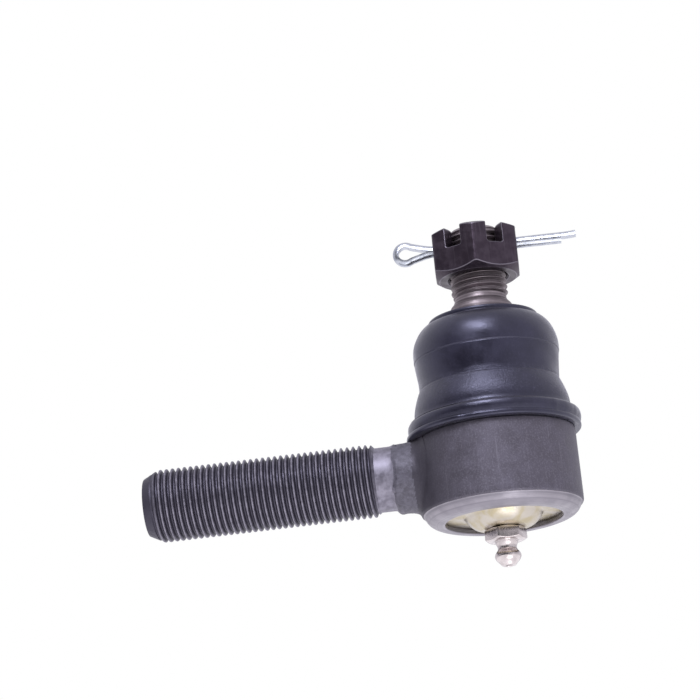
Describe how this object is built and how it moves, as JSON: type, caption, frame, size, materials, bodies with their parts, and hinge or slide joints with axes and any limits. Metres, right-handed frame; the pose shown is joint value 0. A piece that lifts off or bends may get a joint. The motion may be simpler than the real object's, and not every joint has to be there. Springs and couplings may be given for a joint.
{
  "type": "tie rod end",
  "caption": "Greaseable steering ball joint: threaded shank, crimped socket, tapered ball stud in a rubber boot, castle nut with split pin, grease fitting in the domed cover.",
  "frame": {"origin": "centre of the ball", "axes": "+Z along the upright stud towards the castle nut, shank along -X, 2.6 mm below the ball centre, +Y to the right of the shank seen from above with the shank pointing away"},
  "size_m": [0.1123, 0.0428, 0.085],
  "materials": {
    "forged_steel": "dark phosphate over shot-blasted forging, matt",
    "sintered": "oil-soaked sintered bronze-iron, matt",
    "seat_steel": "turned steel, oiled",
    "spring_steel": "bright drawn wire",
    "yellow_zinc": "yellow passivated zinc over pressed sheet steel",
    "nickel": "bright nickel plate",
    "ball_steel": "polished",
    "stud_steel": "ground and oiled alloy steel",
    "rubber": "moulded neoprene, satin",
    "ring_steel": "plain pressed steel",
    "black_oxide": "oiled black oxide, satin",
    "bright_zinc": "bright zinc plated wire"
  },
  "bodies": {
    "socket": {"socket_housing": "forged_steel", "upper_bearing": "sintered", "cover_plate": "yellow_zinc", "fitting_body": "nickel", "boot_base_ring": "ring_steel"},
    "seat": {"lower_seat": "seat_steel", "preload_spring": "spring_steel"},
    "boot": {"dust_boot": "rubber"},
    "boot_neck": {"boot_neck_ring": "ring_steel"},
    "stud": {"ball_stud": "stud_steel", "castle_nut": "black_oxide"},
    "pin": {"split_pin": "bright_zinc"},
    "check_ball": {"fitting_ball": "ball_steel", "fitting_spring": "spring_steel"}
  },
  "joints": [
    {"name": "seat_preload", "type": "slide", "parent": "socket", "child": "seat", "axis": [0, 0, 1], "range_m": [-0.0006, 0], "stiffness_N_per_m": 60000, "springref_m": 0.0012, "deforming": ["preload_spring"]},
    {"name": "boot_turn", "type": "hinge", "parent": "socket", "child": "boot", "pos_m": [0, 0, 0], "axis": [0, 0, 1], "continuous": true},
    {"name": "stud_tilt", "type": "hinge", "parent": "boot", "child": "boot_neck", "pos_m": [0, 0, 0], "axis": [0, 1, 0], "range_deg": [-25, 25], "deforming": ["dust_boot"]},
    {"name": "stud_spin", "type": "hinge", "parent": "boot_neck", "child": "stud", "pos_m": [0, 0, 0], "axis": [0, 0, 1], "continuous": true},
    {"name": "pin_draw", "type": "slide", "parent": "stud", "child": "pin", "axis": [-0.9986, -0.0523, 0], "range_m": [0, 0.06]},
    {"name": "check_ball_lift", "type": "slide", "parent": "socket", "child": "check_ball", "axis": [0, 0, 1], "range_m": [0, 0.0008], "stiffness_N_per_m": 1500, "springref_m": -0.001, "deforming": ["fitting_spring"]}
  ]
}
